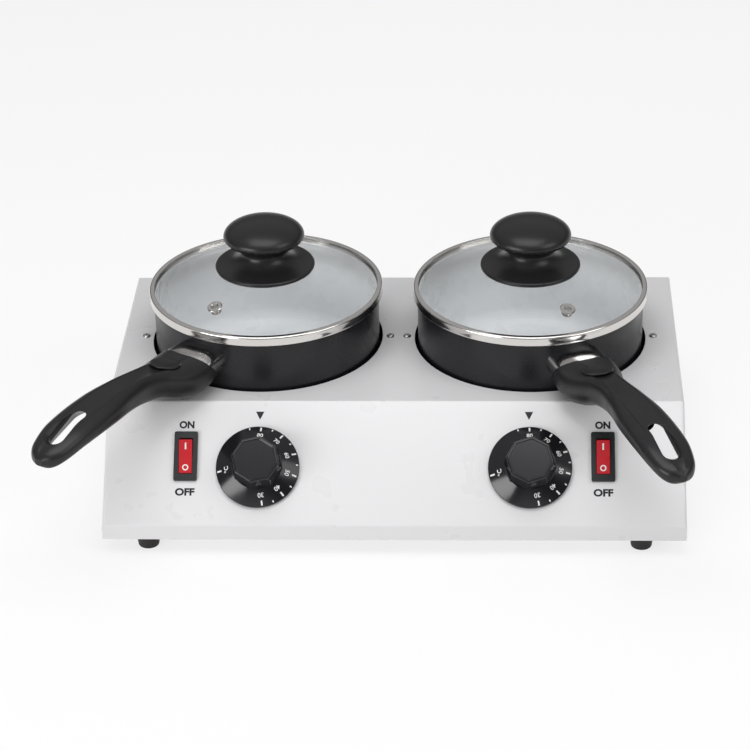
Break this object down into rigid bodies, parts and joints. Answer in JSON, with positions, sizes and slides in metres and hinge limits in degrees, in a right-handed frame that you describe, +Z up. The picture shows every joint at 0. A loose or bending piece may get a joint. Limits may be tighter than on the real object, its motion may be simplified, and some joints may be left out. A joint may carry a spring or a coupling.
{
  "type": "electric chocolate melting pot",
  "caption": "Low sheet-steel body with a sloping control panel, holding lidded long-handled saucepans in heated wells, with dial thermostats and rocker switches.",
  "frame": {"origin": "middle of the base plate's underside, between the feet", "axes": "+X to the right, +Y to the rear, +Z up; the control panel faces -Y"},
  "size_m": [0.4344, 0.348, 0.1781],
  "materials": {
    "white_enamel": "smooth white enamel",
    "galvanised": "plain galvanised sheet",
    "zinc_screws": "zinc plated",
    "foot_rubber": "matt",
    "well_steel": "satin",
    "heater_steel": "dark oxidised",
    "wool": "matt",
    "thermostat_plastic": "matt",
    "brass": "bright",
    "dial_plastic": "glossy with white marks",
    "switch_plastic": "satin",
    "rocker_red": "translucent red",
    "gland_plastic": "matt",
    "block_plastic": "matt",
    "pot_coating": "dark outside, pale inside",
    "chrome": "polished",
    "handle_plastic": "satin moulded",
    "lid_glass": "clear",
    "lid_steel": "polished",
    "knob_plastic": "satin"
  },
  "bodies": {
    "housing": {"body_cover": "white_enamel", "left_end_panel": "white_enamel", "right_end_panel": "white_enamel", "base_plate": "galvanised", "base_screws": "zinc_screws", "feet": "foot_rubber", "foot_screws": "zinc_screws", "foot_nuts": "zinc_screws", "well_screws": "zinc_screws", "well_nuts": "zinc_screws", "clamp_nuts": "zinc_screws", "thermostat_screws": "zinc_screws", "switch_terminals": "brass", "cable_gland": "gland_plastic", "cable_gland_nut": "gland_plastic", "terminal_block": "block_plastic", "earth_stud": "brass", "left_well": "well_steel", "left_heating_element": "heater_steel", "left_clamp_plate": "galvanised", "left_insulation": "wool", "left_heat_shield": "galvanised", "left_thermal_cutout": "thermostat_plastic", "left_thermostat": "thermostat_plastic", "left_thermostat_bulb": "brass", "left_switch_housing": "switch_plastic", "right_well": "well_steel", "right_heating_element": "heater_steel", "right_clamp_plate": "galvanised", "right_insulation": "wool", "right_heat_shield": "galvanised", "right_thermal_cutout": "thermostat_plastic", "right_thermostat": "thermostat_plastic", "right_thermostat_bulb": "brass", "right_switch_housing": "switch_plastic"},
    "left_pan": {"left_pot": "pot_coating", "left_ferrule": "chrome", "left_handle": "handle_plastic", "left_handle_bolt": "zinc_screws"},
    "left_lid": {"left_lid_glass": "lid_glass", "left_lid_rim": "lid_steel", "left_lid_knob": "knob_plastic", "left_lid_screw": "zinc_screws", "left_steam_eyelet": "lid_steel"},
    "left_dial": {"left_thermostat_spindle": "brass", "left_dial_knob": "dial_plastic"},
    "left_switch_rocker": {"left_rocker": "rocker_red"},
    "right_pan": {"right_pot": "pot_coating", "right_ferrule": "chrome", "right_handle": "handle_plastic", "right_handle_bolt": "zinc_screws"},
    "right_lid": {"right_lid_glass": "lid_glass", "right_lid_rim": "lid_steel", "right_lid_knob": "knob_plastic", "right_lid_screw": "zinc_screws", "right_steam_eyelet": "lid_steel"},
    "right_dial": {"right_thermostat_spindle": "brass", "right_dial_knob": "dial_plastic"},
    "right_switch_rocker": {"right_rocker": "rocker_red"}
  },
  "joints": [
    {"name": "left_pan_lift", "type": "slide", "parent": "housing", "child": "left_pan", "axis": [0, 0, 1], "range_m": [0, 0.08]},
    {"name": "left_lid_lift", "type": "slide", "parent": "left_pan", "child": "left_lid", "axis": [0, 0, 1], "range_m": [0, 0.06]},
    {"name": "left_dial_turn", "type": "hinge", "parent": "housing", "child": "left_dial", "pos_m": [-0.0935, -0.09848, 0.0396], "axis": [0, -0.6958, 0.7182], "range_deg": [-17, 172]},
    {"name": "left_switch_press", "type": "hinge", "parent": "housing", "child": "left_switch_rocker", "pos_m": [-0.1435, -0.09169, 0.04409], "axis": [1, 0, 0], "range_deg": [-18, 0]},
    {"name": "right_pan_lift", "type": "slide", "parent": "housing", "child": "right_pan", "axis": [0, 0, 1], "range_m": [0, 0.08]},
    {"name": "right_lid_lift", "type": "slide", "parent": "right_pan", "child": "right_lid", "axis": [0, 0, 1], "range_m": [0, 0.06]},
    {"name": "right_dial_turn", "type": "hinge", "parent": "housing", "child": "right_dial", "pos_m": [0.0935, -0.09848, 0.0396], "axis": [0, -0.6958, 0.7182], "range_deg": [-17, 175]},
    {"name": "right_switch_press", "type": "hinge", "parent": "housing", "child": "right_switch_rocker", "pos_m": [0.1435, -0.09169, 0.04409], "axis": [1, 0, 0], "range_deg": [-18, 0]}
  ]
}
